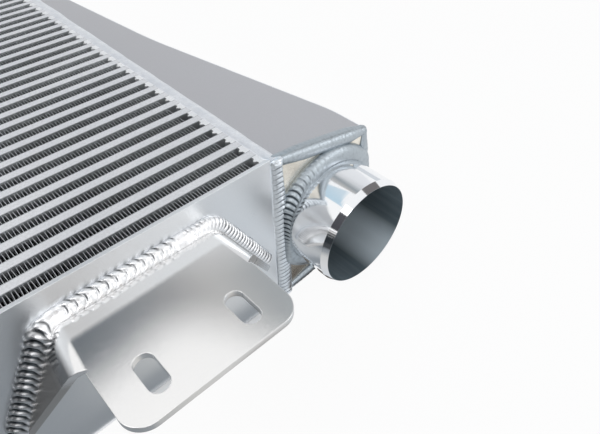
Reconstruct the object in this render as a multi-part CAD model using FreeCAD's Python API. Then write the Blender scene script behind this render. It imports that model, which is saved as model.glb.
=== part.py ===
import FreeCAD, Part
import math
import os

# Bar-and-plate air-to-air intercooler with fabricated sheet tanks, in millimetres.
# The frame sits at the centre of the core's back face: X runs along the charge
# passages, Y across the rows, Z from the back face to the front face.
# The "near" side is the one at low Y, where the pipe stubs and the brackets are.

# Core
core_length = 500.0
core_depth = 127.0
ambient_rows = 28
fin_height = 7.1
charge_bar_height = 5.0
charge_bar_width = 9.0
separator_thickness = 0.5
side_plate_thickness = 2.5

# Notched bars that close the ends of the cooling-air rows
closing_bar_width = 6.0
closing_bar_ridge = 2.0
closing_bar_ridge_root = 3.0

# Folded fins
fin_sheet = 0.4
ambient_fin_flanks = 14
ambient_fin_recess = 0.8
charge_fin_flanks = 4
fin_end_gap = 0.5

# Tanks, made from flat and bent sheet
tank_sheet = 2.5
tank_step = 1.0
tank_slope = 0.2
tank_depth_middle = 45.0
tank_depth_far = 27.5
tank_straight_near = 32.0
tank_middle_station = 203.0
near_bend_radius = 70.0
middle_bend_radius = 350.0

# Pipe stubs
pipe_radius = 38.1
pipe_wall = 2.0
pipe_length = 39.0
pipe_chamfer_radial = 1.85
pipe_chamfer_axial = 4.7
pipe_foot_bevel = 1.0
pipe_wall_clearance = 0.3
pipe_weld_clearance = 0.3

# Weld metal
root_gap = 1.5
core_bead_on_core = 4.0
core_bead_on_tank = 6.2
core_bead_crown = 2.0
edge_bead_lap = 3.4
edge_bead_turn_deg = 50.0
seam_bead_flat = 1.7
pipe_bead_on_plate = 9.5
pipe_bead_on_pipe = 6.6
pipe_bead_overhang = 0.6
bracket_bead_on_core = 7.0
bracket_bead_on_bracket = 5.2
bracket_bead_root = 0.5
bead_fullness = 0.62

# Mounting brackets
bracket_sheet = 4.0
bracket_inset = 92.5
bracket_width = 92.0
bracket_reach = 77.0
bracket_drop = 20.0
bracket_corner_radius = 12.0
bracket_bend_radius = 6.0
wing_flare_deg = 30.0
fold_length = 36.0
fold_lean = 3.0
fold_to_free_edge = 1.5
taper_start = 31.4
taper_end = 8.4
wing_length = 62.4
slot_width = 10.5
slot_length = 22.5
slot_spacing = 50.0
slot_to_core = 56.5

# Sizes that follow from the ones above
row_pitch = fin_height + charge_bar_height + 2 * separator_thickness
charge_rows = ambient_rows - 1
core_height = 2 * side_plate_thickness + ambient_rows * fin_height + charge_rows * (row_pitch - fin_height)
core_end = core_length / 2
near_y = -core_height / 2
far_y = core_height / 2
middle_z = core_depth / 2
sheet_rise = tank_sheet * math.hypot(1, tank_slope)
pipe_bore = pipe_radius - pipe_wall
pipe_x = core_end + core_bead_on_tank + pipe_weld_clearance + pipe_radius
tank_depth_near = pipe_x + pipe_bore + pipe_wall_clearance + tank_sheet - core_end
bracket_x = core_end - bracket_inset
bracket_z = core_depth - bracket_drop
fold_end_x = bracket_width / 2 - fold_to_free_edge
fold_root_x = fold_end_x - fold_lean
fold_skew = math.atan2(fold_lean, fold_length)
fold_outer_radius = bracket_bend_radius + bracket_sheet
wing_flare = math.radians(wing_flare_deg)

# How far cutting shapes reach past what they cut, and how near counts as the same point
reach_beyond = 20.0
same_point = 0.001


def vec(x, y, z):
    return FreeCAD.Vector(x, y, z)


def box(x0, x1, y0, y1, z0, z1):
    return Part.makeBox(x1 - x0, y1 - y0, z1 - z0, vec(x0, y0, z0))


def prism(points, step):
    """Extrude the closed polygon through the points by the vector step."""
    wire = Part.makePolygon(points + [points[0]])
    return Part.Face(wire).extrude(step)


def joined(shapes):
    """One solid from shapes that touch or overlap."""
    return shapes[0].multiFuse(shapes[1:]).removeSplitter()


def other_end(shape):
    """The same piece at the opposite end of the core."""
    return shape.mirror(vec(0, 0, 0), vec(1, 0, 0))


def row_y(row):
    """Middle of a cooling-air row."""
    return near_y + side_plate_thickness + fin_height / 2 + row * row_pitch


def charge_y(row):
    """Middle of a charge-air row."""
    return row_y(row) + row_pitch / 2


# Core

def side_plate(y0):
    return box(-core_end, core_end, y0, y0 + side_plate_thickness, 0, core_depth)


def separator_plates():
    plates = []
    for row in range(charge_rows):
        for side in (-1, 1):
            middle = charge_y(row) + side * (charge_bar_height + separator_thickness) / 2
            low = middle - separator_thickness / 2
            plates.append(box(-core_end, core_end, low, low + separator_thickness, 0, core_depth))
    return plates


def charge_bars(z0):
    bars = []
    for row in range(charge_rows):
        low = charge_y(row) - charge_bar_height / 2
        bars.append(box(-core_end, core_end, low, low + charge_bar_height, z0, z0 + charge_bar_width))
    return bars


def closing_bars():
    """Bars along Z at the +X end, each with a ridge that points at the fins."""
    inner = core_end - closing_bar_width
    half = fin_height / 2
    bars = []
    for row in range(ambient_rows):
        y = row_y(row)
        outline = [
            vec(core_end, y - half, 0),
            vec(core_end, y + half, 0),
            vec(inner, y + half, 0),
            vec(inner, y + closing_bar_ridge_root / 2, 0),
            vec(inner - closing_bar_ridge, y, 0),
            vec(inner, y - closing_bar_ridge_root / 2, 0),
            vec(inner, y - half, 0),
        ]
        bars.append(prism(outline, vec(0, 0, core_depth)))
    return bars


def folded_sheet(start, stop, height, flanks, place, step):
    """A zigzag sheet that touches both faces of a gap of this height."""
    swing = (height - fin_sheet) / 2
    upper = []
    lower = []
    for i in range(flanks + 1):
        along = start + (stop - start) * i / flanks
        across = swing if i % 2 else -swing
        upper.append(place(along, across + fin_sheet / 2))
        lower.append(place(along, across - fin_sheet / 2))
    return prism(upper + lower[::-1], step)


def ambient_fins():
    reach = core_end - closing_bar_width - closing_bar_ridge - fin_end_gap
    z0 = ambient_fin_recess
    step = vec(0, 0, core_depth - 2 * ambient_fin_recess)
    fins = []
    for row in range(ambient_rows):
        y = row_y(row)
        fins.append(
            folded_sheet(-reach, reach, fin_height, ambient_fin_flanks,
                         lambda a, b: vec(a, y + b, z0), step)
        )
    return fins


def charge_fins():
    z0 = charge_bar_width + fin_end_gap
    x0 = -core_end + fin_end_gap
    step = vec(core_length - 2 * fin_end_gap, 0, 0)
    fins = []
    for row in range(charge_rows):
        y = charge_y(row)
        fins.append(
            folded_sheet(z0, core_depth - z0, charge_bar_height, charge_fin_flanks,
                         lambda a, b: vec(x0, y + b, a), step)
        )
    return fins


# Tank outline in plan

def outline_corners(inset):
    """Corners of the outer wall's line, moved inwards by inset, from the near end to the far end."""
    corners = [
        (core_end + tank_depth_near, near_y),
        (core_end + tank_depth_near, near_y + tank_straight_near),
        (core_end + tank_depth_middle, near_y + tank_middle_station),
        (core_end + tank_depth_far, far_y),
    ]
    lines = []
    for (xa, ya), (xb, yb) in zip(corners, corners[1:]):
        slope = (xb - xa) / (yb - ya)
        lines.append((xa - slope * ya - inset * math.hypot(1, slope), slope))
    moved = [(lines[0][0] + lines[0][1] * near_y, near_y)]
    for (a, m), (b, n) in zip(lines, lines[1:]):
        y = (b - a) / (m - n)
        moved.append((a + m * y, y))
    moved.append((lines[-1][0] + lines[-1][1] * far_y, far_y))
    return moved


def rounded_line(corners, radii):
    """Edges of a line through the corners with a tangent arc of each radius at the inner ones."""
    edges = []
    start = corners[0]
    for i, radius in enumerate(radii, 1):
        corner = corners[i]
        back = (corners[i - 1] - corner).normalize()
        ahead = (corners[i + 1] - corner).normalize()
        half_turn = (math.pi - back.getAngle(ahead)) / 2
        setback = radius * math.tan(half_turn)
        first = corner + back * setback
        last = corner + ahead * setback
        inward = (back + ahead).normalize()
        middle = corner + inward * (radius / math.cos(half_turn) - radius)
        edges.append(Part.LineSegment(start, first).toShape())
        edges.append(Part.Arc(first, middle, last).toShape())
        start = last
    edges.append(Part.LineSegment(start, corners[-1]).toShape())
    return edges


def plan_solid(inset):
    """Everything from the core's end to the outer wall's line, well past both faces of the core."""
    corners = [vec(x, y, -reach_beyond) for x, y in outline_corners(inset)]
    radii = [near_bend_radius - inset, middle_bend_radius + inset]
    edges = rounded_line(corners, radii)
    far_corner = vec(core_end, far_y, -reach_beyond)
    near_corner = vec(core_end, near_y, -reach_beyond)
    edges.append(Part.LineSegment(corners[-1], far_corner).toShape())
    edges.append(Part.LineSegment(far_corner, near_corner).toShape())
    edges.append(Part.LineSegment(near_corner, corners[0]).toShape())
    return Part.Face(Part.Wire(edges)).extrude(vec(0, 0, core_depth + 2 * reach_beyond))


def front_z(x, inset):
    """Height of the front sheet's outer surface at x, or of a surface this far inside it."""
    return core_depth - tank_step - tank_slope * (x - core_end) - inset * sheet_rise / tank_sheet


def profile_slab(top_inset, bottom_inset, x0, y0, y1):
    """The front sheet's band between two depths, from x0 outwards."""
    x1 = core_end + tank_depth_near + reach_beyond
    outline = [
        vec(x0, y0, front_z(x0, top_inset)),
        vec(x1, y0, front_z(x1, top_inset)),
        vec(x1, y0, front_z(x1, bottom_inset)),
        vec(x0, y0, front_z(x0, bottom_inset)),
    ]
    return prism(outline, vec(0, y1 - y0, 0))


def between_sheets(inset, x0, y0, y1):
    """The space between the front and back sheets' surfaces at this inset."""
    x1 = core_end + tank_depth_near + reach_beyond
    outline = [
        vec(x0, y0, front_z(x0, inset)),
        vec(x1, y0, front_z(x1, inset)),
        vec(x1, y0, core_depth - front_z(x1, inset)),
        vec(x0, y0, core_depth - front_z(x0, inset)),
    ]
    return prism(outline, vec(0, y1 - y0, 0))


def to_back(shape):
    """The same piece on the back face."""
    return shape.mirror(vec(0, 0, middle_z), vec(0, 0, 1))


# Tank sheets

def front_sheet():
    slab = profile_slab(0, tank_sheet, core_end + root_gap, near_y + tank_sheet, far_y - tank_sheet)
    return slab.common(plan_solid(tank_sheet))


def outer_band():
    """The outer wall's thickness in plan, over the full height."""
    return plan_solid(0).cut(plan_solid(tank_sheet))


def outer_wall():
    room = between_sheets(tank_sheet, core_end, near_y + tank_sheet, far_y - tank_sheet)
    return outer_band().common(room)


def end_plate(y0):
    room = between_sheets(tank_sheet, core_end + root_gap, y0, y0 + tank_sheet)
    return room.common(plan_solid(tank_sheet))


def near_end_plate():
    hole = Part.makeCylinder(pipe_bore, tank_sheet, vec(pipe_x, near_y, middle_z), vec(0, 1, 0))
    return end_plate(near_y).cut(hole)


def pipe_stub():
    lip = near_y - pipe_length
    outline = [
        vec(pipe_bore, near_y, 0),
        vec(pipe_radius - pipe_foot_bevel, near_y, 0),
        vec(pipe_radius, near_y - pipe_bead_on_pipe, 0),
        vec(pipe_radius, lip + pipe_chamfer_axial, 0),
        vec(pipe_radius - pipe_chamfer_radial, lip, 0),
        vec(pipe_bore, lip, 0),
    ]
    face = Part.Face(Part.makePolygon(outline + [outline[0]]))
    stub = face.revolve(vec(0, 0, 0), vec(0, 1, 0), 360)
    return stub.translated(vec(pipe_x, 0, middle_z))


# Weld metal

def core_side_bead():
    """The rippled bead between the near side plate and the near end plate."""
    start = vec(core_end - core_bead_on_core, near_y, 0)
    finish = vec(core_end + core_bead_on_tank, near_y, 0)
    top = (start + finish) * 0.5 + vec(0, -core_bead_crown, 0)
    edges = [Part.Arc(start, top, finish).toShape(), Part.LineSegment(finish, start).toShape()]
    cap = Part.Face(Part.Wire(edges)).extrude(vec(0, 0, core_depth))
    finish_z = front_z(core_end + core_bead_on_tank, 0)
    room = [
        vec(start.x, near_y - core_bead_crown, 0),
        vec(core_end, near_y - core_bead_crown, 0),
        vec(finish.x, near_y - core_bead_crown, core_depth - finish_z),
        vec(finish.x, near_y - core_bead_crown, finish_z),
        vec(core_end, near_y - core_bead_crown, core_depth),
        vec(start.x, near_y - core_bead_crown, core_depth),
    ]
    cap = cap.common(prism(room, vec(0, core_bead_crown, 0)))
    root = between_sheets(tank_sheet, core_end, near_y, near_y + tank_sheet)
    return [cap, root.common(box(core_end, core_end + root_gap, near_y, near_y + tank_sheet, 0, core_depth))]


def core_face_bead():
    """The dressed band between the core's front face and the front sheet."""
    toe = core_end + core_bead_on_tank
    corner = vec(core_end, near_y, core_depth)
    foot = vec(toe, near_y, front_z(toe, 0))
    middle = (corner + foot) * 0.5 + vec(0, 0, tank_step / 2)
    root_x = core_end + root_gap
    line = [
        foot,
        vec(root_x, near_y, front_z(root_x, 0)),
        vec(root_x, near_y, front_z(root_x, tank_sheet)),
        vec(core_end, near_y, front_z(core_end, tank_sheet)),
        corner,
    ]
    edges = [Part.Arc(corner, middle, foot).toShape()] + Part.makePolygon(line).Edges
    return Part.Face(Part.Wire(edges)).extrude(vec(0, core_height, 0))


def core_weld():
    """The bead all round the joint between the core and the tank."""
    near = core_side_bead()
    far = [piece.mirror(vec(0, 0, 0), vec(0, 1, 0)) for piece in near]
    face = core_face_bead()
    return joined(near + far + [face, to_back(face)])


def edge_weld_sweep(y_inner, outward):
    """Weld metal along the three open edges of an end plate.

    outward is -1 at the near end plate and 1 at the far one.
    """
    wall_x = [x for x, y in outline_corners(tank_sheet)][0 if outward < 0 else -1]
    path_points = [
        vec(core_end, y_inner, front_z(core_end, tank_sheet)),
        vec(wall_x, y_inner, front_z(wall_x, tank_sheet)),
        vec(wall_x, y_inner, core_depth - front_z(wall_x, tank_sheet)),
        vec(core_end, y_inner, core_depth - front_z(core_end, tank_sheet)),
    ]
    path = Part.makePolygon(path_points)
    normal = vec(tank_slope, 0, 1).normalize()
    depth = vec(0, outward, 0)
    root = path_points[0]
    radius = math.hypot(tank_sheet, edge_bead_lap)
    points = [root, root + depth * tank_sheet, root - normal * edge_bead_lap + depth * tank_sheet]
    for turn_deg in (-edge_bead_turn_deg, 0, edge_bead_turn_deg):
        angle = math.pi / 4 + math.radians(turn_deg)
        points.append(root + normal * (radius * math.sin(angle)) + depth * (radius * math.cos(angle)))
    points.append(root + normal * tank_sheet - depth * edge_bead_lap)
    points.append(root + normal * tank_sheet)
    section = Part.makePolygon(points + [root])
    bead = path.makePipeShell([section], True, False, 1)
    x1 = wall_x + reach_beyond
    return bead.common(box(core_end, x1, near_y - reach_beyond, far_y + reach_beyond, 0, core_depth))


def near_edge_weld(core_bead):
    pipe = Part.makeCylinder(pipe_radius, pipe_length, vec(pipe_x, near_y, middle_z), vec(0, -1, 0))
    return edge_weld_sweep(near_y + tank_sheet, -1).cut(core_bead).cut(pipe)


def far_edge_weld(core_bead, pieces):
    weld = edge_weld_sweep(far_y - tank_sheet, 1)
    for piece in [core_bead] + pieces:
        weld = weld.cut(piece)
    return weld


def seam_weld():
    """The dressed corner weld between the front sheet and the outer wall."""
    slab = profile_slab(0, tank_sheet, core_end, near_y + tank_sheet, far_y - tank_sheet)
    weld = outer_band().common(slab)
    inner_half = plan_solid(tank_sheet / 2)
    corner = []
    for edge in weld.Edges:
        middle = edge.valueAt((edge.FirstParameter + edge.LastParameter) / 2)
        on_top = abs(middle.z - front_z(middle.x, 0)) < same_point
        along = abs(middle.y - near_y) > 2 * tank_sheet and abs(middle.y - far_y) > 2 * tank_sheet
        if on_top and along and not inner_half.isInside(middle, same_point, True):
            corner.append(edge)
    return weld.makeChamfer(seam_bead_flat, corner)


def pipe_weld(others):
    """The bead round the foot of the pipe, trimmed where it meets the tank's edge."""
    crown_x = pipe_radius + bead_fullness * pipe_bead_on_plate
    crown_y = near_y - bead_fullness * pipe_bead_on_pipe
    outline = [
        vec(pipe_radius - pipe_foot_bevel, near_y, 0),
        vec(pipe_radius + pipe_bead_on_plate, near_y, 0),
        vec(crown_x, crown_y, 0),
        vec(pipe_radius, near_y - pipe_bead_on_pipe, 0),
    ]
    face = Part.Face(Part.makePolygon(outline + [outline[0]]))
    ring = face.revolve(vec(0, 0, 0), vec(0, 1, 0), 360).translated(vec(pipe_x, 0, middle_z))
    edge = core_end + tank_depth_near + pipe_bead_overhang
    past = pipe_radius + pipe_bead_on_plate
    beyond = box(edge, edge + past, near_y - pipe_length, near_y, middle_z - past, middle_z + past)
    ring = ring.cut(beyond)
    for other in others:
        ring = ring.cut(other)
    return ring


# Brackets

def fold_along():
    """Direction of the fold on the +X side, away from the core."""
    return vec(math.sin(fold_skew), -math.cos(fold_skew), 0)


def fold_normal(angle):
    """Out of the folded sheet at this angle above the plate's level, square to the fold."""
    flat = math.cos(angle)
    return vec(math.cos(fold_skew) * flat, math.sin(fold_skew) * flat, math.sin(angle))


def bracket_plate():
    """The +X half of the plate, drawn about x = 0."""
    half = bracket_width / 2
    tip_y = near_y - bracket_reach
    fold_end_y = near_y - fold_length
    edge_start = vec(half, fold_end_y - fold_to_free_edge, bracket_z)
    tip = vec(0, tip_y, bracket_z)
    edges = rounded_line([tip, vec(half, tip_y, bracket_z), edge_start], [bracket_corner_radius])
    rest = [
        edge_start,
        vec(fold_end_x, fold_end_y, bracket_z),
        vec(fold_root_x, near_y, bracket_z),
        vec(0, near_y, bracket_z),
        tip,
    ]
    edges += Part.makePolygon(rest).Edges
    return Part.Face(Part.Wire(edges)).extrude(vec(0, 0, -bracket_sheet))


def bracket_wing():
    """The bend and the flat wing on the +X side, cut off at the core's side and along the taper."""
    along = fold_along()
    top = vec(fold_root_x, near_y, bracket_z)
    axis = top - vec(0, 0, fold_outer_radius)
    start = axis - along * reach_beyond
    length = along * (fold_length + 2 * reach_beyond)
    inner = vec(0, 0, bracket_bend_radius)
    outer = vec(0, 0, fold_outer_radius)
    end_face = Part.Face(Part.makePolygon([
        start + inner, start + outer, start + outer + length, start + inner + length, start + inner,
    ]))
    bend = end_face.revolve(axis, along * -1, 90 - wing_flare_deg)
    out = fold_normal(wing_flare)
    down = fold_normal(wing_flare - math.pi / 2)
    side = start + out * fold_outer_radius
    flat = prism(
        [side, side + length, side + length + down * wing_length, side + down * wing_length],
        out * -bracket_sheet,
    )
    behind = box(-reach_beyond, bracket_width, near_y, near_y + 2 * reach_beyond, 0, core_depth)
    wing = joined([bend, flat]).cut(behind)
    return wing.cut(taper_blade(axis))


def taper_blade(axis):
    """Everything past the wing's tapered edge, seen square to the middle of the bend."""
    along = fold_along()
    out = fold_normal(wing_flare)
    down = fold_normal(wing_flare - math.pi / 2)
    look = fold_normal((wing_flare + math.pi / 2) / 2)
    plate_end = vec(fold_end_x, near_y - fold_length, bracket_z)
    wing_start = axis + out * fold_outer_radius + along * taper_start
    wing_end = axis + out * fold_outer_radius + along * taper_end + down * wing_length
    line = [
        plate_end * 2 - wing_start,
        wing_start,
        wing_end * 2 - wing_start,
    ]
    line += [line[2] + along * (4 * reach_beyond), line[0] + along * (4 * reach_beyond)]
    flat = [point - look * point.dot(look) for point in line]
    level = look * (axis.dot(look) - wing_length)
    return prism([point + level for point in flat], look * (wing_length + 2 * reach_beyond))


def slot(x):
    """A slot along Y, right through the bracket's plate."""
    radius = slot_width / 2
    half = slot_length / 2 - radius
    y = near_y - slot_to_core
    z0 = bracket_z - 2 * bracket_sheet
    height = 3 * bracket_sheet
    middle = box(x - radius, x + radius, y - half, y + half, z0, z0 + height)
    ends = [Part.makeCylinder(radius, height, vec(x, y + side * half, z0)) for side in (-1, 1)]
    return joined([middle] + ends)


def bracket():
    half = [bracket_plate(), bracket_wing()]
    shape = joined(half + [piece.mirror(vec(0, 0, 0), vec(1, 0, 0)) for piece in half])
    for side in (-1, 1):
        shape = shape.cut(slot(side * slot_spacing / 2))
    return shape.translated(vec(bracket_x, 0, 0))


def bracket_weld(bracket_shape, core_bead):
    """One fillet bead up one wing, along the plate and down the other wing."""
    wing_line = vec(math.sin(wing_flare), 0, -math.cos(fold_skew) * math.cos(wing_flare)).normalize()
    outward = vec(wing_line.z, 0, wing_line.x)
    axis_z = bracket_z - fold_outer_radius
    side = vec(
        fold_root_x + fold_outer_radius * math.cos(wing_flare) / math.cos(fold_skew),
        near_y,
        axis_z + fold_outer_radius * math.sin(wing_flare),
    )
    corner = side + wing_line * ((bracket_z - side.z) / wing_line.z)
    tip = side + wing_line * wing_length
    right = [corner, tip]
    left = [vec(-point.x, point.y, point.z) for point in reversed(right)]
    path = Part.Wire(rounded_line(left + right, [fold_outer_radius, fold_outer_radius]))
    root = left[0]
    sunk_root = root - outward * bracket_bead_root
    forward = vec(0, -1, 0) * bracket_bead_on_bracket
    on_core = root + outward * bracket_bead_on_core
    crown = root + (outward * bracket_bead_on_core + forward) * bead_fullness
    section = [
        Part.LineSegment(sunk_root, on_core).toShape(),
        Part.Arc(on_core, crown, root + forward).toShape(),
        Part.LineSegment(root + forward, sunk_root + forward).toShape(),
        Part.LineSegment(sunk_root + forward, sunk_root).toShape(),
    ]
    bead = path.makePipeShell([Part.Wire(section)], True, False, 0)
    return bead.translated(vec(bracket_x, 0, 0)).cut(bracket_shape).cut(core_bead)


# Writing the nodes

def save(name, shapes):
    solids = [solid for shape in shapes for solid in shape.Solids]
    shape = solids[0] if len(solids) == 1 else Part.makeCompound(solids)
    shape.exportStep(f"parts/{name}.step")


def save_core():
    save("near_side_plate", [side_plate(near_y)])
    save("far_side_plate", [side_plate(far_y - side_plate_thickness)])
    save("separator_plates", separator_plates())
    save("front_charge_bars", charge_bars(core_depth - charge_bar_width))
    save("back_charge_bars", charge_bars(0))
    save("charge_fins", charge_fins())
    save("ambient_fins", ambient_fins())
    right_bars = closing_bars()
    save("right_closing_bars", right_bars)
    save("left_closing_bars", [other_end(bar) for bar in right_bars])


def save_ends():
    """Everything outside the core, made at the +X end and mirrored to the other."""
    bead = core_weld()
    front = front_sheet()
    seam = seam_weld()
    wall = outer_wall()
    near_edge = near_edge_weld(bead)
    far_plate = end_plate(far_y - tank_sheet)
    far_edge = far_edge_weld(bead, [front, to_back(front), seam, to_back(seam), wall, far_plate])
    mount = bracket()
    pieces = {
        "tank_front_sheet": [front],
        "tank_back_sheet": [to_back(front)],
        "tank_outer_wall": [wall],
        "tank_near_end_plate": [near_end_plate()],
        "tank_far_end_plate": [far_plate],
        "pipe_stub": [pipe_stub()],
        "core_weld": [bead],
        "near_end_weld": [near_edge],
        "far_end_weld": [far_edge],
        "tank_seam_welds": [seam, to_back(seam)],
        "pipe_weld": [pipe_weld([bead, near_edge])],
        "bracket": [mount],
        "bracket_weld": [bracket_weld(mount, bead)],
    }
    for name, shapes in pieces.items():
        save(f"right_{name}", shapes)
        save(f"left_{name}", [other_end(shape) for shape in shapes])


os.makedirs("parts", exist_ok=True)
save_core()
save_ends()
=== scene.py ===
import bmesh
import bpy
import math
from mathutils import Matrix, Vector, noise


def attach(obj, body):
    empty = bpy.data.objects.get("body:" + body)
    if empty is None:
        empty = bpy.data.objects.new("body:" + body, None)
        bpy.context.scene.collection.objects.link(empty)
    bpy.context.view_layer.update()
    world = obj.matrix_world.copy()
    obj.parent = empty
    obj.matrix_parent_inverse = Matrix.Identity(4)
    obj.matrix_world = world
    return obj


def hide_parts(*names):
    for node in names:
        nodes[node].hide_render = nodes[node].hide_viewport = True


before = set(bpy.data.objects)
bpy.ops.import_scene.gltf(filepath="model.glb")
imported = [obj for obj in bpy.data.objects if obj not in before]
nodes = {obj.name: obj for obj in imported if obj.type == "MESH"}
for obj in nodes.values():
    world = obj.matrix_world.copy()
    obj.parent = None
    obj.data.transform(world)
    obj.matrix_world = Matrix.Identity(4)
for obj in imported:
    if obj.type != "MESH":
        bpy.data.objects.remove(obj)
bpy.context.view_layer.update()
scene = bpy.context.scene
MM = 0.001

# Sizes of the part, in millimetres, as its source has them
CORE_END = 250.0
DEPTH = 127.0
NEAR_Y = -182.9
FAR_Y = 182.9
ROWS = 28
ROW_PITCH = 13.1
FIN_HEIGHT = 7.1
FIN_PITCH = 3.85
FIN_REACH = 241.3
SIDE_PLATE = 2.5
SHEET = 2.5
SLOPE = 0.2
TANK_NEAR = 83.5
TANK_FAR = 27.5
PIPE_X = 294.6
PIPE_R = 38.1
PIPE_BORE = 36.1
BRACKET_X = 157.5
BRACKET_Z = 107.0
FOLD_X = 41.5
FOLD_LEAN = math.atan2(3.0, 36.0)
BEND_OUTER = 10.0
WING_LENGTH = 62.4
FLARE = math.radians(30.0)

# The coins of a weld bead: their usual spacing in millimetres, the shares of it over which
# a coin rises and drops, and the widths of the hollow's dark line on either side of the drop
COIN_PITCH = 3.7
COIN_RISE = 0.78
COIN_DROP = 0.22
COIN_CURVE = 0.8
HOLLOW_AFTER = 0.17
HOLLOW_BEFORE = 0.10

# The foil of the cooling-air fins, in millimetres, and the levels at which it is cut into
# strips: three short ones at the front face, a long one, and a short one at the back face
FOIL = 0.24
FIN_CREST = 1.6
FIN_LEVELS = (126.1, 123.3, 120.5, 117.7, 3.7, 0.9)
FIN_GAP = 0.02
FIN_PIECES = 4


def front_z(x):
    """The outer surface of a tank's front sheet."""
    return DEPTH - 1.0 - SLOPE * (x - CORE_END)


def inner_z(x):
    """The inner surface of a tank's front sheet."""
    return front_z(x) - SHEET * math.hypot(1.0, SLOPE)


def ease(value, low, high):
    """0 below low, 1 above high, smooth between."""
    t = min(1.0, max(0.0, (value - low) / (high - low)))
    return t * t * (3 - 2 * t)


def wave(x, y, z):
    """Smooth noise between -1 and 1."""
    return noise.noise(Vector((x, y, z)))


# Meshes

def add_mesh(name, points, faces, smooth=True, hollows=None):
    """A mesh object from points in millimetres, whose quads are smooth and whose caps are flat.

    hollows tells the material how deep each point lies between the coins of a bead.
    """
    mesh = bpy.data.meshes.new(name)
    mesh.from_pydata([(x * MM, y * MM, z * MM) for x, y, z in points], [], faces)
    if smooth:
        mesh.polygons.foreach_set("use_smooth", [len(face) == 4 for face in faces])
        shell = bmesh.new()
        shell.from_mesh(mesh)
        bmesh.ops.recalc_face_normals(shell, faces=shell.faces)
        shell.to_mesh(mesh)
        shell.free()
    if hollows:
        mesh.attributes.new("hollow", "FLOAT", "POINT").data.foreach_set("value", hollows)
    mesh.update()
    piece = bpy.data.objects.new(name, mesh)
    scene.collection.objects.link(piece)
    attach(piece, "root")
    return piece


def loft(rings, closed=False):
    """Points and faces of a skin through equally long rings, capped unless it closes on itself."""
    size = len(rings[0])
    points = [tuple(p) for ring in rings for p in ring]
    faces = []
    last = len(rings) if closed else len(rings) - 1
    for i in range(last):
        a = i * size
        b = ((i + 1) % len(rings)) * size
        for j in range(size):
            k = (j + 1) % size
            faces.append((a + j, b + j, b + k, a + k))
    if not closed:
        faces.append(tuple(range(size)))
        faces.append(tuple(reversed(range(a + size, a + 2 * size))))
    return points, faces


def merged(parts):
    """One list of points and faces from several."""
    points = []
    faces = []
    for some_points, some_faces, *_ in parts:
        base = len(points)
        points += some_points
        faces += [tuple(base + i for i in face) for face in some_faces]
    return points, faces


def mirrored(points):
    """The same points at the -X end."""
    return [(-x, y, z) for x, y, z in points]


def run(start, end, step):
    """Evenly spaced points from start to end."""
    count = max(2, int((end - start).length / step) + 1)
    return [start.lerp(end, i / (count - 1)) for i in range(count)]


# Weld beads

def ripple(phase, across, bow, width):
    """Height and hollowness of a bead's frozen coins.

    Each coin is a crescent that rises slowly and drops to the next one.
    """
    bowed = phase - bow * (2 * across - 1) ** 2
    step = bowed - math.floor(bowed)
    if step < COIN_RISE:
        height = math.sin(math.pi / 2 * step / COIN_RISE) ** COIN_CURVE
    else:
        height = 0.5 + 0.5 * math.cos(math.pi * (step - COIN_RISE) / COIN_DROP)
    after = math.exp(-(step / width) ** 2)
    before = math.exp(-((1 - step) / HOLLOW_BEFORE) ** 2)
    return height, max(after, before)


class Bead:
    """A bead built ring by ring across its run.

    height is that of a coin in millimetres, steps the number of steps across the bead, calm how
    steeply the coins set in at its second edge, and lumps how high its slow unevenness is.
    """

    UNEVEN_PITCH = 0.22
    UNEVEN_HEIGHT = 0.45
    SWAY = 0.15

    def __init__(self, seed, height, steps=14, calm=4.0, lumps=0.06):
        self.rings = []
        self.hollows = []
        self.phase = 0.0
        self.travel = 0.0
        self.last = None
        self.seed = seed
        self.height = height
        self.steps = steps
        self.calm = calm
        self.lumps = lumps

    def station(self, crown, pitch, fixed, surface, strength, bow,
                darkness=None, shade=None, width=HOLLOW_AFTER):
        """Adds one ring.

        fixed holds the root points. surface gives, for 0 to 1 across, a point and its outward
        direction. shade gives how much of the hollow's darkness, oxide and painted shade, lies at
        a place across.
        """
        if self.last is not None:
            move = (crown - self.last).length
            uneven = 1.0 + self.UNEVEN_PITCH * wave(self.phase * 0.43, self.seed, 8.0)
            self.phase += move / (pitch * uneven)
            self.travel += move
        self.last = crown
        ring = list(fixed)
        marks = [0.0] * len(fixed)
        sway = wave(self.travel * 0.11, self.seed, 3.0)
        coin = 1.0 + self.UNEVEN_HEIGHT * wave(math.floor(self.phase) * 1.7, self.seed, 1.0)
        for i in range(self.steps + 1):
            t = i / self.steps
            point, out = surface(t)
            fade = min(1.0, 4.0 * t, self.calm * (1.0 - t))
            height, hollow = ripple(self.phase + self.SWAY * sway, t, bow, width)
            lump = self.lumps * wave(self.travel * 0.35, t * 2.0, self.seed)
            rise = (height * self.height * strength * coin + lump) * fade
            ring.append(point + out * rise)
            mark = hollow * (strength if darkness is None else darkness)
            marks.append(mark * (fade ** 0.5 if shade is None else shade(t)))
        self.rings.append(ring)
        self.hollows += marks


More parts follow.
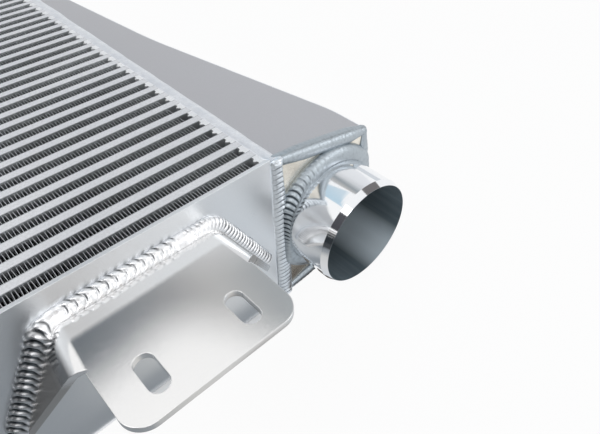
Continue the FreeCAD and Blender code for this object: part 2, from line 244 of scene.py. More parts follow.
def end_bead(y_inner, outward, wall_x, seed):
    """The bead along an end plate's front, outer and back edges, thinner towards the corners."""
    step = 0.45
    corner_steps = 12
    tuck = 0.15
    down = Vector((0, outward, 0))
    bead = Bead(seed, 0.30)
    first_x = CORE_END + 0.5
    top = Vector((first_x, y_inner, inner_z(first_x)))
    front = Vector((wall_x, y_inner, inner_z(wall_x)))
    back = Vector((wall_x, y_inner, DEPTH - inner_z(wall_x)))
    low = Vector((first_x, y_inner, DEPTH - inner_z(first_x)))
    n_front = Vector((SLOPE, 0, 1)).normalized()
    n_out = Vector((1, 0, 0))
    n_back = Vector((SLOPE, 0, -1)).normalized()

    def place(root, n, lap, strength):
        start_angle = math.atan2(-lap, SHEET)
        end_angle = math.atan2(SHEET, -lap)
        radius = math.hypot(SHEET, lap)
        crown = root + (down + n).normalized() * radius
        fixed = [root + n * SHEET, root, root + down * SHEET]

        def surface(t):
            angle = start_angle + (end_angle - start_angle) * t
            out = down * math.cos(angle) + n * math.sin(angle)
            point = root + out * (radius - tuck)
            point.z = min(max(point.z, 0.0), DEPTH)
            return point, out
        bead.station(crown, 3.4, fixed, surface, strength, bow=0.35, darkness=0.12)

    def along(start, end, n):
        for root in run(start, end, step):
            corner = min((root - front).length, (root - back).length)
            lap = 2.9 + 1.9 * ease(corner, 1.0, 16.0)
            if n is not n_out:
                lap = min(lap, 3.0 + 1.8 * ease(root.x, CORE_END, CORE_END + 30.0))
            place(root, n, lap, 0.55)

    def round_corner(root, a, b):
        for i in range(1, corner_steps):
            place(root, a.slerp(b, i / corner_steps), 2.7, 0.3)

    along(top, front, n_front)
    round_corner(front, n_front, n_out)
    along(front, back, n_out)
    round_corner(back, n_out, n_back)
    along(back, low, n_back)
    return *loft(bead.rings), bead.hollows


def pipe_bead(seed):
    """The ring round the foot of the pipe, cut back at the tank's outer wall and at the core.

    Its upper outer part is dressed smooth, and on the core's side its hollows are darker.
    """
    leg = 9.5
    rise = 6.6
    count = 840
    middle = 43
    rounding = 0.95
    wall_x = CORE_END + TANK_NEAR + 0.6
    core_x = CORE_END + 4.0
    down = Vector((0, -1, 0))
    centre = Vector((PIPE_X, NEAR_Y, DEPTH / 2))
    bead = Bead(seed, 0.55, 16)
    coins = round(math.tau * middle / COIN_PITCH)
    for i in range(count):
        angle = math.tau * i / count - math.pi / 2
        side = Vector((math.cos(angle), 0, math.sin(angle)))
        reach = leg
        if side.x > 0:
            reach = min(leg, (wall_x - PIPE_X) / side.x - PIPE_R)
        if side.x < 0:
            reach = min(leg, (PIPE_X - core_x) / -side.x - PIPE_R)
        root = centre + side * (PIPE_R - 0.8)

        def surface(t, side=side, reach=reach):
            a = t * math.pi / 2
            u = reach * math.cos(a) ** rounding
            v = rise * math.sin(a) ** rounding
            out = (side * math.cos(a) + down * math.sin(a)).normalized()
            return centre + side * (PIPE_R + u) + down * v, out
        bead.phase = coins * i / count
        bead.last = None
        bead.travel = 12.0 * math.sin(angle) + 40.0
        dressed = ease(math.sin(angle), 0.35, 0.7) * ease(math.cos(angle), -0.35, 0.0)
        grooved = ease(math.sin(angle), -0.25, 0.1) * ease(-math.cos(angle), 0.45, 0.8)
        bead.station(root, COIN_PITCH, [root], surface, 1.0 - 0.85 * dressed, bow=0.7,
                     darkness=0.25 + 1.1 * grooved - 0.2 * dressed,
                     width=HOLLOW_AFTER + 0.10 * grooved)
    return *loft(bead.rings, closed=True), bead.hollows


def bracket_path():
    """The joint's line from the right wing's tip over the plate to the left wing's tip.

    Each place has its outward direction and the pitch, strength and bow of its coins.
    """
    step = 0.36
    fold_steps = 30
    restart_x = 27.0
    skew = math.cos(FOLD_LEAN)
    slope = Vector((math.sin(FLARE), 0, -skew * math.cos(FLARE))).normalized()
    out = Vector((-slope.z, 0, slope.x))
    up = Vector((0, 0, 1))
    axis = Vector((FOLD_X, NEAR_Y, BRACKET_Z - BEND_OUTER))

    def bend(turn):
        return axis + Vector((math.cos(turn) / skew, 0, math.sin(turn))) * BEND_OUTER

    def flip(stretch):
        return [(Vector((-p.x, p.y, p.z)), Vector((-n.x, n.y, n.z))) for p, n in reversed(stretch)]

    side = bend(FLARE)
    wing = [(p, out) for p in run(side + slope * WING_LENGTH, side, step)][:-1]
    turns = [FLARE + (math.pi / 2 - FLARE) * i / fold_steps for i in range(1, fold_steps)]
    fold = [(bend(turn), Vector((math.cos(turn), 0, math.sin(turn)))) for turn in turns]
    plate = run(axis + up * BEND_OUTER, Vector((-FOLD_X, NEAR_Y, BRACKET_Z)), step)

    path = [(p, n, 3.2, 1.0, 0.8) for p, n in wing]
    path += [(p, n, 2.6, 0.55, 0.6) for p, n in fold]
    for p in plate:
        restart = ease(abs(p.x - restart_x), 2.0, 4.5)
        fine = ease(p.x, restart_x, restart_x + 2.0)
        start = ease(p.x, -FOLD_X, -FOLD_X + 6.0)
        strength = max(0.05, restart * start) * (1.0 - 0.35 * fine)
        path.append((p, up, 5.2 - 2.2 * fine, strength, 0.6))
    for i, (p, n) in enumerate(flip(fold)):
        path.append((p, n, 4.4, 0.05 + 0.95 * ease(i, 4, 13), 0.8 + 0.2 * ease(i, 4, 14)))
    path += [(p, n, 4.2, 1.15, 1.0) for p, n in flip(wing)]
    return path


def bracket_bead(seed):
    """One bead up a wing, along the plate and down the other wing, widest on the left wing."""
    leg_out = 7.0
    leg_down = 5.2
    end_length = 4.0
    down = Vector((0, -1, 0))
    path = bracket_path()
    bead = Bead(seed, 0.75, 18, 2.0, 0.03)
    length = sum((b[0] - a[0]).length for a, b in zip(path[:-1], path[1:]))
    travel = 0.0
    before = path[0][0]
    for p, n, pitch, strength, bow in path:
        travel += (p - before).length
        before = p
        at_end = min(travel, length - travel)
        size = math.sqrt(max(0.02, 1.0 - (1.0 - min(1.0, at_end / end_length)) ** 2))
        uneven = 1.0 + 0.06 * wave(travel * 0.16, 4.0, seed)
        part_way = bead.phase - math.floor(bead.phase)
        scallop = 1.0 + 0.05 * strength * math.sin(math.pi * part_way)
        wide = 1.8 * ease(-n.x, 0.3, 0.8)
        root = p + Vector((BRACKET_X, 0, 0))

        def surface(t, root=root, n=n, size=size * uneven * scallop, wide=wide):
            a = t * math.pi / 2
            across = n * (leg_out + wide) * math.cos(a) + down * (leg_down + wide) * math.sin(a)
            point = root + across * size * (1.0 - 0.05 * math.sin(2 * a))
            return point, n * math.cos(a) + down * math.sin(a)
        on_plate = ease(n.z, 0.9, 1.0)

        def shade(t, on_plate=on_plate):
            """Oxide and painted shade at both toes of the bead on the plate, and at its middle
            elsewhere.
            """
            upper = max(0.0, 1.0 - abs(t - 0.14) / 0.34)
            lower = 0.6 * max(0.0, 1.0 - abs(t - 0.94) / 0.07)
            middle = max(0.0, math.sin(math.pi * t)) ** 0.5
            return on_plate * max(upper + lower, 0.42 * middle) + (1.0 - on_plate) * middle
        width = 0.28 + 0.14 * ease(-n.x, 0.5, 0.8) + 0.04 * ease(n.x, 0.5, 0.8)
        bead.station(root + (n + down) * 4.0 * size, pitch, [root], surface, strength * size, bow,
                     shade=shade, width=width)
    return *loft(bead.rings), bead.hollows


def core_side_bead(outward, seed):
    """The rippled bead on a side of the joint between the core and the tank."""
    count = 380
    end_gap = 1.5
    crown = 3.1
    tilt = 1.2
    y = outward * FAR_Y
    y_root = y - 1.0 * outward
    out_y = Vector((0, outward, 0))
    bead = Bead(seed, 0.6)
    for i in range(count):
        z = end_gap + (DEPTH - 2 * end_gap) * (1 - i / (count - 1))
        broad = ease(DEPTH - z, 10.0, 55.0)
        left = CORE_END - 0.4 - 1.0 * broad
        right = CORE_END + 8.0 + 3.2 * broad
        fixed = [Vector((edge_x, edge_y, z)) for edge_x, edge_y in
                 ((right, y), (right, y_root), (left, y_root), (left, y))]
        squeeze = min(1.0, 0.25 + min(z, DEPTH - z) / 4.0)

        def surface(t, squeeze=squeeze, z=z, left=left, right=right):
            x = left + (right - left) * t
            across = 2 * t - 1
            rise = crown * (1 - across ** 2) ** 0.6 * squeeze
            top = front_z(x) if x > CORE_END else DEPTH
            height = min(max(z, DEPTH - top), top)
            out = (out_y + Vector((across * tilt, 0, 0))).normalized()
            return Vector((x, y, height)) + out_y * rise, out
        bead.station(Vector((CORE_END, y, z)), COIN_PITCH, fixed, surface, squeeze, bow=0.45,
                     darkness=0.75)
    return *loft(bead.rings), bead.hollows


def corner_lump(outward, z):
    """The rounded lump where the core, end and face beads run together at a core's corner."""
    steps = 24
    turns = 32
    half_x, half_y, half_z = 4.6, 2.7, 2.9
    centre = Vector((CORE_END + 4.2, outward * (FAR_Y + 0.1), z))
    rings = []
    for i in range(steps + 1):
        polar = math.pi * (0.01 + 0.98 * i / steps)
        wide = math.sin(polar)
        ring = []
        for j in range(turns):
            turn = math.tau * j / turns
            out = Vector((math.cos(polar), wide * math.cos(turn), wide * math.sin(turn)))
            uneven = 1.0 + 0.07 * noise.noise(out * 1.6 + Vector((z, outward, 2.0)))
            ring.append(centre + Vector((out.x * half_x, out.y * half_y, out.z * half_z)) * uneven)
        rings.append(ring)
    points, faces = loft(rings)
    return points, faces, [0.0] * len(points)


def face_band(flip):
    """The dressed band between the core's face and a tank sheet, with slightly uneven edges.

    Towards the core's corners its inner edge goes back to the joint.
    """
    count = 184
    rings = []
    for i in range(count):
        y = NEAR_Y + (FAR_Y - NEAR_Y) * i / (count - 1)
        inward = 0.25 * wave(y * 0.06, 1.7, flip) - 2.3
        lift = 0.10 * wave(y * 0.16, 5.1, flip) + 0.05 * wave(y * 0.7, 2.1, flip)
        x0 = CORE_END - 0.3 + inward * ease(FAR_Y - abs(y), 0.0, 4.0)
        x1 = CORE_END + 6.2 + 0.9 * wave(y * 0.05, 9.3, flip)
        profile = [
            (x0, DEPTH - 0.4),
            (x0, DEPTH + 0.02),
            (x0 + 0.5, DEPTH + 0.12 + lift),
            (CORE_END, DEPTH + 0.14 + lift),
            (CORE_END + 2.4, DEPTH - 0.15 + lift),
            (CORE_END + 4.8, DEPTH - 0.85 + lift),
            (x1, front_z(x1) + 0.12),
            (x1 + 0.1, front_z(x1) - 0.3),
            (CORE_END + 1.5, inner_z(CORE_END + 1.5)),
            (CORE_END, inner_z(CORE_END)),
        ]
        if flip:
            profile = [(x, DEPTH - z) for x, z in profile]
        rings.append([Vector((x, y, z)) for x, z in profile])
    return loft(rings)


# Fins

def fin_strip(row, y, z_low, z_high, offset):
    """One strip of a row's foil: broad crests on both walls and steep flanks between them."""
    half_pitch = FIN_PITCH / 2
    reach = FIN_REACH - FIN_CREST / 2 - 0.1
    swing = (FIN_HEIGHT - FOIL) / 2
    first = math.ceil((-reach - offset) / half_pitch)
    last = math.floor((reach - offset) / half_pitch)
    line = []
    for i in range(first, last + 1):
        x = offset + i * half_pitch + 0.10 * wave(i * 0.9, row * 2.3, 7.0)
        level = swing if i % 2 else -swing
        line.append((x - FIN_CREST / 2, level))
        line.append((x + FIN_CREST / 2, level))
    upper = []
    lower = []
    for j, (x, level) in enumerate(line):
        ahead = line[min(j + 1, len(line) - 1)]
        behind = line[max(j - 1, 0)]
        dx = ahead[0] - behind[0]
        dy = ahead[1] - behind[1]
        length = math.hypot(dx, dy)
        upper.append((x - dy / length * FOIL / 2, y + level + dx / length * FOIL / 2))
        lower.append((x + dy / length * FOIL / 2, y + level - dx / length * FOIL / 2))
    outline = upper + lower[::-1]
    size = len(outline)
    points = [(x, y, z) for z in (z_low, z_high) for x, y in outline]
    faces = [(j, (j + 1) % size, size + (j + 1) % size, size + j) for j in range(size)]
    for j in range(size // 2 - 1):
        quad = (j, j + 1, size - 2 - j, size - 1 - j)
        faces.append(tuple(reversed(quad)))
        faces.append(tuple(size + q for q in quad))
    return points, faces


def fine_fins(first, last, name):
    """Offset-strip foil in some of the cooling-air rows, each strip set sideways from the last."""
    parts = []
    for row in range(first, last):
        y = NEAR_Y + SIDE_PLATE + FIN_HEIGHT / 2 + row * ROW_PITCH
        shift = 1.1 * wave(row * 3.7, 0.5, 0.2)
        step = 1.25 + 0.6 * wave(row * 1.3, 6.5, 2.2)
        for k, (high, low) in enumerate(zip(FIN_LEVELS, FIN_LEVELS[1:])):
            offset = shift + (step if k % 2 else 0.0)
            parts.append(fin_strip(row, y, low + FIN_GAP, high - FIN_GAP, offset))
    points, faces = merged(parts)
    return add_mesh(name, points, faces, smooth=False)


# Materials

class Graph:
    """A small helper for the nodes of a material or of the world."""

    def __init__(self, owner):
        self.owner = owner
        owner.use_nodes = True
        self.tree = owner.node_tree
        self.bsdf = self.tree.nodes.get("Principled BSDF")

    def node(self, kind, **values):
        made = self.tree.nodes.new(kind)
        for key, value in values.items():
            setattr(made, key, value)
        return made

    def link(self, a, b):
        self.tree.links.new(a, b)

    def feed(self, value, socket):
        """Links an output to a socket, or sets a number or colour on it."""
        if isinstance(value, bpy.types.NodeSocket):
            self.link(value, socket)
        elif isinstance(value, tuple):
            socket.default_value = (*value, 1.0)
        else:
            socket.default_value = value

    def fed(self, name):
        """The output that is linked to a socket of the shader."""
        return self.bsdf.inputs[name].links[0].from_socket

    def coords(self, scale=(1, 1, 1)):
        where = self.node("ShaderNodeTexCoord")
        mapping = self.node("ShaderNodeMapping")
        mapping.inputs["Scale"].default_value = scale
        self.link(where.outputs["Object"], mapping.inputs["Vector"])
        return mapping.outputs["Vector"]

    def axes(self):
        """The outputs X, Y and Z of the place, in metres."""
        split = self.node("ShaderNodeSeparateXYZ")
        self.link(self.coords(), split.inputs["Vector"])
        return split.outputs

    def noise(self, vector, scale, detail=4.0, rough=0.55):
        made = self.node("ShaderNodeTexNoise")
        made.inputs["Scale"].default_value = scale
        made.inputs["Detail"].default_value = detail
        made.inputs["Roughness"].default_value = rough
        self.link(vector, made.inputs["Vector"])
        return made.outputs["Fac"]

    def span(self, value, low, high, out_low=0.0, out_high=1.0):
        made = self.node("ShaderNodeMapRange")
        made.inputs["From Min"].default_value = low
        made.inputs["From Max"].default_value = high
        made.inputs["To Min"].default_value = out_low
        made.inputs["To Max"].default_value = out_high
        self.link(value, made.inputs["Value"])
        return made.outputs["Result"]

    def mix(self, factor, first, second):
        """Two colours mixed. The node's sockets repeat their names, so their numbers are used."""
        made = self.node("ShaderNodeMix", data_type="RGBA")
        self.feed(factor, made.inputs[0])
        self.feed(first, made.inputs[6])
        self.feed(second, made.inputs[7])
        return made.outputs[2]

    def math(self, operation, a, b=0.0):
        made = self.node("ShaderNodeMath", operation=operation)
        self.feed(a, made.inputs[0])
        self.feed(b, made.inputs[1])
        return made.outputs[0]

    def bump(self, height, strength, distance, soft_edges=0.0):
        made = self.node("ShaderNodeBump")
        made.inputs["Strength"].default_value = strength
        made.inputs["Distance"].default_value = distance
        self.link(height, made.inputs["Height"])
        if soft_edges:
            edge = self.node("ShaderNodeBevel", samples=4)
            edge.inputs["Radius"].default_value = soft_edges
            self.link(edge.outputs["Normal"], made.inputs["Normal"])
        self.link(made.outputs["Normal"], self.bsdf.inputs["Normal"])

    def surface(self, colour, roughness, metallic=1.0):
        self.feed(colour, self.bsdf.inputs["Base Color"])
        self.feed(roughness, self.bsdf.inputs["Roughness"])
        self.feed(metallic, self.bsdf.inputs["Metallic"])

    def show(self, shader):
        """Makes a shader the material's surface."""
        self.link(shader, self.tree.nodes["Material Output"].inputs["Surface"])

    def seen(self):
        """1 for rays from the camera, in reflections and through glass, 0 for light on things."""
        path = self.node("ShaderNodeLightPath").outputs
        straight = self.math("MAXIMUM", path["Is Camera Ray"], path["Is Glossy Ray"])
        return self.math("MAXIMUM", straight, path["Is Transmission Ray"])


def material(name):
    return Graph(bpy.data.materials.new(name))


def darker(colour, share):
    return tuple(c * share for c in colour)


def sheet_metal(name, colour, dark, rough, spread=0.08, grain=(1, 1, 1), bump=0.04, edge=0.0006,
                speckle=0.25, patch=14.0):
    """Rolled aluminium with a fine grain, soft blotches and slightly worn edges."""
    g = material(name)
    blotch = g.noise(g.coords(), patch, 5.0, 0.6)
    fine = g.noise(g.coords(grain), 900.0, 3.0, 0.6)
    base = g.mix(g.span(blotch, 0.3, 0.7), dark, colour)
    base = g.mix(g.span(fine, 0.35, 0.65, 0.0, speckle), base, darker(colour, 0.80))
    roughness = g.math("ADD", g.span(fine, 0.3, 0.7, rough - spread / 2, rough + spread / 2),
                       g.span(blotch, 0.3, 0.7, -spread / 2, spread / 2))
    g.surface(base, roughness)
    g.bump(fine, bump, 0.0004, edge)
    return g


def bead_metal(name, colour, dark, rough):
    """Weld metal darkened in the hollows between its coins: oxide, and painted shade."""
    g = material(name)
    place = g.coords()
    fine = g.noise(place, 700.0, 4.0, 0.65)
    large = g.noise(place, 110.0, 3.0, 0.5)
    mottle = g.noise(place, 420.0, 2.0, 0.5)
    hollow = g.node("ShaderNodeAttribute", attribute_name="hollow").outputs["Fac"]
    base = g.mix(g.span(large, 0.35, 0.7, 0.0, 0.55), colour, darker(colour, 0.84))
    base = g.mix(g.span(mottle, 0.52, 0.68, 0.0, 0.5), base, darker(colour, 0.72))
    # Oxide and painted shade: the hollows are mixed towards the dark colour
    base = g.mix(g.span(hollow, 0.15, 0.85), base, dark)
    g.surface(base, g.span(fine, 0.3, 0.7, rough - 0.06, rough + 0.10))
    g.bump(fine, 0.14, 0.0003)
    return g


def fin_foil():
    """Thin foil whose colour is painted dark quickly below the faces, within a few millimetres:
    painted shade deep in the channels between the fins.
    """
    dark_at = 0.0583
    lit_at = 0.0622
    g = sheet_metal("fin_metal", (0.78, 0.80, 0.82), (0.60, 0.62, 0.64), 0.40, spread=0.10,
                    bump=0.05, edge=0.0)
    from_middle = g.math("ABSOLUTE", g.math("SUBTRACT", g.axes()["Z"], DEPTH / 2 * MM))
    lit = g.span(from_middle, dark_at, lit_at)
    # Painted shade: below the faces the foil's colour goes to near black
    base = g.mix(lit, (0.025, 0.03, 0.035), g.fed("Base Color"))
    g.feed(base, g.bsdf.inputs["Base Color"])
    return g


def bracket_sheet():
    """Bright sheet whose flared wings, below the plate, are painted darker and are rougher, the
    inner one most: painted shade.

    The outer fold is painted darker too, in a strip between the wing and the plate: painted shade.
    """
    g = sheet_metal("bracket_metal", (0.93, 0.925, 0.92), (0.90, 0.90, 0.90), 0.11, spread=0.03,
                    grain=(1, 14, 1), bump=0.03)
    middle = BRACKET_X * MM
    place = g.axes()
    height = place["Z"]
    across = g.math("ABSOLUTE", place["X"])
    below = g.span(height, 0.092, 0.101, 1.0, 0.0)
    inner = g.span(across, middle - 0.01, middle + 0.01, 1.0, 0.3)
    outer = g.span(across, middle, middle + 0.02, 0.0, 0.9)
    fold = g.math("MULTIPLY", outer, g.span(height, 0.1030, 0.1066, 1.0, 0.0))
    fold = g.math("MULTIPLY", fold, g.span(height, 0.088, 0.096, 0.3, 1.0))
    wing = g.math("MAXIMUM", g.math("MULTIPLY", below, inner), fold)
    # Painted shade: the wings and the outer fold are painted darker
    base = g.mix(wing, g.fed("Base Color"), (0.50, 0.49, 0.48))
    roughness = g.math("ADD", g.fed("Roughness"), g.math("MULTIPLY", wing, 0.28))
    g.surface(base, roughness)
    return g


def polished_pipe():
    """Turned and polished tube: fine rings round the axis outside, rough and less metallic in the
    bore, whose colour is painted dark: painted shade.

    Low on its outer side the bore is painted pale: painted light where daylight reaches in.
    """
    g = material("pipe_metal")
    rings = g.noise(g.coords((1, 60, 1)), 30.0, 3.0, 0.6)
    waves = g.noise(g.coords(), 22.0, 2.0, 0.5)
    drawn = g.noise(g.coords((1, 0.05, 1)), 260.0, 3.0, 0.6)
    place = g.axes()
    from_axis = g.math("SUBTRACT", g.math("ABSOLUTE", place["X"]), PIPE_X * MM)
    height = g.math("SUBTRACT", place["Z"], DEPTH / 2 * MM)
    squares = [g.math("MULTIPLY", part, part) for part in (from_axis, height)]
    radius = g.math("SQRT", g.math("ADD", *squares))
    outside = g.span(radius, PIPE_BORE * MM + 0.00005, PIPE_BORE * MM + 0.00015)
    bright = g.mix(g.span(waves, 0.3, 0.7), (0.86, 0.88, 0.91), (0.92, 0.93, 0.94))
    # Painted shade: the bore's colour is painted dark
    bore_shade_and_light = g.mix(g.span(drawn, 0.3, 0.7), (0.14, 0.18, 0.205), (0.20, 0.245, 0.27))
    low = math.radians(-55.0)
    low_side = g.math("ADD", g.math("MULTIPLY", from_axis, math.cos(low)),
                      g.math("MULTIPLY", height, math.sin(low)))
    # Painted light: low on its outer side the bore is painted pale
    pale = g.span(g.math("DIVIDE", low_side, radius), 0.86, 0.99)
    bore_shade_and_light = g.mix(pale, bore_shade_and_light, (0.84, 0.94, 1.0))
    polish = g.span(rings, 0.3, 0.7, 0.04, 0.10)
    roughness = g.math("MAXIMUM", polish, g.span(outside, 0.0, 1.0, 0.30, 0.0))
    g.surface(g.mix(outside, bore_shade_and_light, bright), roughness, g.span(outside, 0.0, 1.0, 0.35, 1.0))
    g.bump(g.math("ADD", g.math("MULTIPLY", rings, 0.15), waves), 0.10, 0.0008)
    return g


side_metal = sheet_metal("side_plate_metal", (0.82, 0.84, 0.86), (0.75, 0.78, 0.81), 0.34,
                         grain=(1, 12, 12), bump=0.05)
bar_metal = sheet_metal("bar_metal", (0.82, 0.83, 0.85), (0.74, 0.76, 0.79), 0.50, spread=0.10,
                        bump=0.2, edge=0.0005, speckle=0.6)
end_bar_metal = sheet_metal("end_bar_metal", (0.96, 0.97, 0.98), (0.84, 0.86, 0.89), 0.45,
                            spread=0.10, bump=0.2, edge=0.0005, speckle=0.5)
divider_metal = sheet_metal("separator_metal", (0.60, 0.62, 0.64), (0.46, 0.48, 0.50), 0.50,
                            spread=0.10, bump=0.1, edge=0.0)
tank_metal = sheet_metal("tank_metal", (0.525, 0.525, 0.55), (0.50, 0.51, 0.535), 0.44,
                         grain=(6, 1, 6))
end_metal = sheet_metal("end_plate_metal", (0.96, 0.92, 0.83), (0.78, 0.74, 0.66), 0.30,
                        spread=0.10, grain=(1, 1, 8))
band_metal = sheet_metal("band_metal", (0.90, 0.92, 0.95), (0.66, 0.70, 0.76), 0.40, spread=0.12,
                         bump=0.25, speckle=0.6, patch=130.0)
bright_weld = bead_metal("bright_weld_metal", (0.95, 0.96, 0.98), (0.03, 0.035, 0.04), 0.30)
grey_weld = bead_metal("grey_weld_metal", (0.44, 0.49, 0.53), (0.04, 0.05, 0.06), 0.38)
pale_weld = bead_metal("pale_weld_metal", (0.78, 0.83, 0.88), (0.06, 0.08, 0.10), 0.34)
fin_metal = fin_foil()

# The first word that a node's name holds decides its metal
METALS = (
    ("side_plate", side_metal),
    ("fins", fin_metal),
    ("closing_bars", end_bar_metal),
    ("separator", divider_metal),
    ("bars", bar_metal),
    ("end_plate", end_metal),
    ("pipe_stub", polished_pipe()),
    ("weld", band_metal),
    ("bracket", bracket_sheet()),
    ("", tank_metal),
)


def paint(piece, graph):
    piece.data.materials.clear()
    piece.data.materials.append(graph.owner)


for name, node in nodes.items():
    paint(node, next(metal for word, metal in METALS if word in name))

# Pieces that stand for plainer CAD nodes

rows = ROWS // FIN_PIECES
for part in range(FIN_PIECES):
    fins = fine_fins(part * rows, (part + 1) * rows, f"fine_fins_{part}")
    paint(fins, fin_metal)
    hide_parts("ambient_fins")

core_beads = [core_side_bead(-1, 15.0), core_side_bead(1, 16.0)]
core_beads += [corner_lump(outward, z) for outward in (-1, 1) for z in (3.4, DEPTH - 3.4)]
core_hollows = [mark for core_bead in core_beads for mark in core_bead[2]]
near_wall_x = CORE_END + TANK_NEAR - SHEET
far_wall_x = CORE_END + TANK_FAR - SHEET
beads = {
    "near_end_weld": (end_bead(NEAR_Y + SHEET, -1, near_wall_x, 11.0), grey_weld),
    "far_end_weld": (end_bead(FAR_Y - SHEET, 1, far_wall_x, 12.0), grey_weld),
    "pipe_weld": (pipe_bead(13.0), grey_weld),
    "bracket_weld": (bracket_bead(14.0), bright_weld),
    "core_weld": ((*merged(core_beads), core_hollows), pale_weld),
}
band_points, band_faces = merged([face_band(0), face_band(1)])
for side in ("right", "left"):
    for name, ((points, faces, hollows), metal) in beads.items():
        placed = points if side == "right" else mirrored(points)
        bead = add_mesh(f"{side}_{name}_bead", placed, faces, hollows=hollows)
        paint(bead, metal)
        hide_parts(f"{side}_{name}")
    placed = band_points if side == "right" else mirrored(band_points)
    band = add_mesh(f"{side}_core_weld_band", placed, band_faces)
    paint(band, band_metal)
    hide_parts(f"{side}_core_weld")

# Camera, at the photo's angle: its right, up and backward directions and its place

view = bpy.data.cameras.new("view")
view.sensor_width = 36.0
view.lens = 31.57
view.clip_start = 0.01
camera = bpy.data.objects.new("view", view)
scene.collection.objects.link(camera)
right = Vector((0.73201, -0.68101, -0.01986))
up = Vector((0.48227, 0.49735, 0.72115))
back = Vector((-0.48124, -0.53747, 0.69249))
eye = Vector((0.1027, -0.3712, 0.3106))
camera.matrix_world = Matrix((
    (right.x, up.x, back.x, eye.x),
    (right.y, up.y, back.y, eye.y),
    (right.z, up.z, back.z, eye.z),
    (0, 0, 0, 1),
))
scene.camera = camera

# Floor

FLOOR_HALF = 6
FLOOR_Z = -0.0005
FLOOR_WHITE = 0.93
SHADED_WHITE = 0.1


def seen_white(g):
    """Part of a surface's light, to the camera and in reflections, is plain white of strength 1.

    Beside the core's foot, under the bracket, that part is small, so that the shade stays there.
    """
    place = g.axes()
    beside = g.math("MULTIPLY", g.span(place["X"], 0.235, 0.245, 1.0, 0.0),
                    g.span(place["Y"], -0.200, -0.192))
    beside = g.math("MULTIPLY", beside, g.span(place["X"], 0.115, 0.13))
    beside = g.math("MULTIPLY", beside, g.span(place["Y"], -0.15, -0.13, 1.0, 0.0))
    share = g.span(beside, 0.0, 1.0, FLOOR_WHITE, SHADED_WHITE)
    mixer = g.node("ShaderNodeMixShader")
    g.link(g.math("MULTIPLY", g.seen(), share), mixer.inputs[0])
    g.link(g.bsdf.outputs[0], mixer.inputs[1])
    g.link(g.node("ShaderNodeEmission").outputs[0], mixer.inputs[2])
    g.show(mixer.outputs[0])


floor_mesh = bpy.data.meshes.new("floor")
corners = [(x * FLOOR_HALF, y * FLOOR_HALF, 0) for x, y in ((-1, -1), (1, -1), (1, 1), (-1, 1))]
floor_mesh.from_pydata(corners, [], [(0, 1, 2, 3)])
floor = bpy.data.objects.new("floor", floor_mesh)
floor.location.z = FLOOR_Z
scene.collection.objects.link(floor)
g = material("floor_white")
g.surface(g.mix(g.noise(g.coords(), 3.0), (0.93, 0.93, 0.93), (0.95, 0.95, 0.95)), 0.8, 0.0)
seen_white(g)
floor_mesh.materials.append(g.owner)


# Studio cards

def around(start, distance, directions):
    """Corners at one distance from a start, in metres, in directions of azimuth and elevation."""
    corners = []
    for azimuth, elevation in directions:
        a = math.radians(azimuth)
        e = math.radians(elevation)
        out = Vector((math.cos(e) * math.cos(a), math.cos(e) * math.sin(a), math.sin(e)))
        corners.append(Vector(start) + distance * out)
    return corners


def lying(height, outline):
    """Corners at one height above the floor."""
    return [(x, y, height) for x, y in outline]


def card(name, corners, tones, axis="X"):
    """A studio card that only shows in reflections.

    tones are pairs of a place along the axis, in metres, and the colour there.
    """
    mesh = bpy.data.meshes.new(name)
    mesh.from_pydata(corners, [], [tuple(range(len(corners)))])
    holder = bpy.data.objects.new(name, mesh)
    scene.collection.objects.link(holder)
    holder.visible_camera = False
    holder.visible_diffuse = False
    holder.visible_shadow = False
    holder.visible_transmission = False
    g = material(name)
    g.tree.nodes.remove(g.bsdf)
    place = g.axes()[axis]
    colour = tones[0][1]
    for (low, _), (high, tone) in zip(tones, tones[1:]):
        colour = g.mix(g.span(place, low, high), colour, tone)
    glow = g.node("ShaderNodeEmission")
    g.feed(colour, glow.inputs["Color"])
    g.show(glow.outputs[0])
    mesh.materials.append(g.owner)


# Places on the part from which the cards were sighted
ON_BRACKET = (0.150, -0.220, 0.107)
ON_PIPE = (0.279, -0.207, 0.098)
ON_LIP = (0.277, -0.218, 0.089)

# The far wall as the bracket reflects it, with a lighter part low down
card("far_wall", around(ON_BRACKET, 1.5, (
    (100, 55.6), (90, 54.9), (81, 54.0), (75, 52.8), (69, 52.2), (62, 54.0), (55, 56), (48, 57.5),
    (30, 58), (30, 15), (45, 15), (60, 15), (75, 15), (100, 15),
)), (
    (0.20, (0.16, 0.18, 0.20)), (0.30, (0.20, 0.218, 0.24)), (0.42, (0.25, 0.265, 0.28)),
    (0.48, (0.27, 0.275, 0.285)), (0.56, (0.46, 0.46, 0.46)), (0.62, (0.50, 0.50, 0.50)),
    (0.75, (0.33, 0.36, 0.38)), (0.95, (0.7, 0.72, 0.74)),
))
card("far_wall_low", around(ON_BRACKET, 1.45, ((102, 39.5), (28, 39.5), (28, 15), (102, 15))), (
    (0.6, (0.85, 0.86, 0.88)), (0.90, (0.80, 0.81, 0.83)), (1.02, (0.66, 0.67, 0.69)),
), "Z")

# Above the pipe's foot and on either side of its lip
card("blue_card", [
    (0.2818, -0.1591, 0.1585), (0.2981, -0.1783, 0.1599), (0.2532, -0.1818, 0.1532),
    (0.2528, -0.1653, 0.1515),
], (
    (0.258, (0.52, 0.68, 0.79)), (0.296, (0.66, 0.76, 0.83)),
))
card("right_card", around(ON_LIP, 0.5, ((-26, 61), (-4, 61), (10, 27), (-8, 27))), (
    (0.2, (0.17, 0.16, 0.16)), (0.8, (0.20, 0.19, 0.19)),
))
card("left_card", around(ON_LIP, 0.9, ((195, 56), (225, 56), (218, 23), (186, 23))), (
    (-0.6, (0.07, 0.07, 0.08)), (0.0, (0.08, 0.08, 0.09)),
))
card("left_wall", around(ON_LIP, 0.9, ((183, 19), (213, 19), (213, -11), (183, -11))), (
    (-0.6, (0.03, 0.035, 0.04)), (0.0, (0.02, 0.025, 0.03)),
))
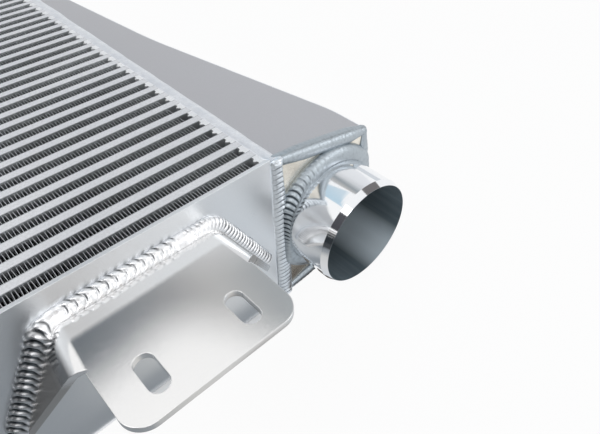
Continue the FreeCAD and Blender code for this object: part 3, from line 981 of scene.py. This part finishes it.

# Painted shade of the floor in front of the part, on a sheet that only reflections see; its strip
# along the core's foot, a painted contact shadow; and the studio's near side
card("floor_shade_card", lying(0.0005, (
    (-0.6, -0.9), (0.35, -0.9), (0.35, -0.235), (0.305, -0.235), (0.305, -0.196), (-0.6, -0.196),
)), (
    (-0.04, (0.06, 0.065, 0.07)), (0.03, (0.24, 0.26, 0.28)), (0.10, (0.33, 0.35, 0.37)),
    (0.16, (0.62, 0.62, 0.61)), (0.22, (0.70, 0.70, 0.70)), (0.265, (0.68, 0.71, 0.74)),
    (0.290, (0.84, 0.87, 0.90)), (0.31, (0.60, 0.62, 0.64)), (0.35, (0.50, 0.52, 0.54)),
))
card("near_card", around(ON_BRACKET, 1.2, ((-102, 60), (-80, 60), (-81, 28), (-102, 28))), (
    (0.0, (0.46, 0.46, 0.47)), (0.20, (0.60, 0.54, 0.49)), (0.30, (0.66, 0.60, 0.55)),
))
# Painted contact shadow along the core's foot, seen only in reflections
card("foot_shadow_card", lying(0.0008, (
    (-0.6, -0.1965), (0.255, -0.1965), (0.255, -0.184), (-0.6, -0.184),
)), (
    (0.0, (0.22, 0.24, 0.26)), (0.25, (0.34, 0.36, 0.38)),
))

# Beyond the pipe and under it
card("far_right_low", around(ON_PIPE, 1.4, ((14, 14), (37, 12), (37, 0), (14, 0))), (
    (0.2, (0.66, 0.69, 0.72)), (1.6, (0.70, 0.73, 0.76)),
))
card("pipe_shade", lying(0.001, (
    (0.262, -0.206), (0.36, -0.206), (0.36, -0.186), (0.262, -0.186),
)), (
    (0.25, (0.10, 0.09, 0.085)), (0.35, (0.14, 0.13, 0.12)),
))


# Lamps and world

def soft_light(name, place, aim, size, power):
    lamp = bpy.data.lights.new(name, "AREA")
    lamp.shape = "RECTANGLE"
    lamp.size, lamp.size_y = size
    lamp.energy = power
    holder = bpy.data.objects.new(name, lamp)
    holder.location = place
    aimed = Vector(aim) - Vector(place)
    holder.rotation_euler = aimed.to_track_quat("-Z", "Y").to_euler()
    scene.collection.objects.link(holder)


soft_light("key", (-0.9, -0.2, 1.9), (0.1, 0, 0), (1.6, 1.2), 10.0)
soft_light("side", (1.6, -1.5, 0.9), (0.2, -0.1, 0.05), (1.0, 0.8), 4.0)
soft_light("front", (-0.4, -2.0, 0.8), (0.1, -0.1, 0.05), (1.6, 0.7), 5.0)

# The world lights the part from a grey sky that is paler below, and is seen as plain white
g = Graph(bpy.data.worlds.new("world"))
scene.world = g.owner
g.tree.nodes.clear()
shown = g.node("ShaderNodeBackground")
g.feed((1.0, 1.0, 1.0), shown.inputs["Color"])
lighting = g.node("ShaderNodeBackground")
for background in (shown, lighting):
    background.inputs["Strength"].default_value = 1.0
where = g.node("ShaderNodeTexCoord")
split = g.node("ShaderNodeSeparateXYZ")
g.link(where.outputs["Generated"], split.inputs["Vector"])
ramp = g.node("ShaderNodeValToRGB")
for stop, place, colour in zip(ramp.color_ramp.elements, (0.0, 1.0),
                               ((0.75, 0.77, 0.80, 1), (0.42, 0.43, 0.45, 1))):
    stop.position = place
    stop.color = colour
g.link(split.outputs["Z"], ramp.inputs["Fac"])
g.link(ramp.outputs["Color"], lighting.inputs["Color"])
mixer = g.node("ShaderNodeMixShader")
g.link(g.seen(), mixer.inputs["Fac"])
g.link(lighting.outputs["Background"], mixer.inputs[1])
g.link(shown.outputs["Background"], mixer.inputs[2])
output = g.node("ShaderNodeOutputWorld")
g.link(mixer.outputs["Shader"], output.inputs["Surface"])

scene.view_settings.view_transform = "Standard"
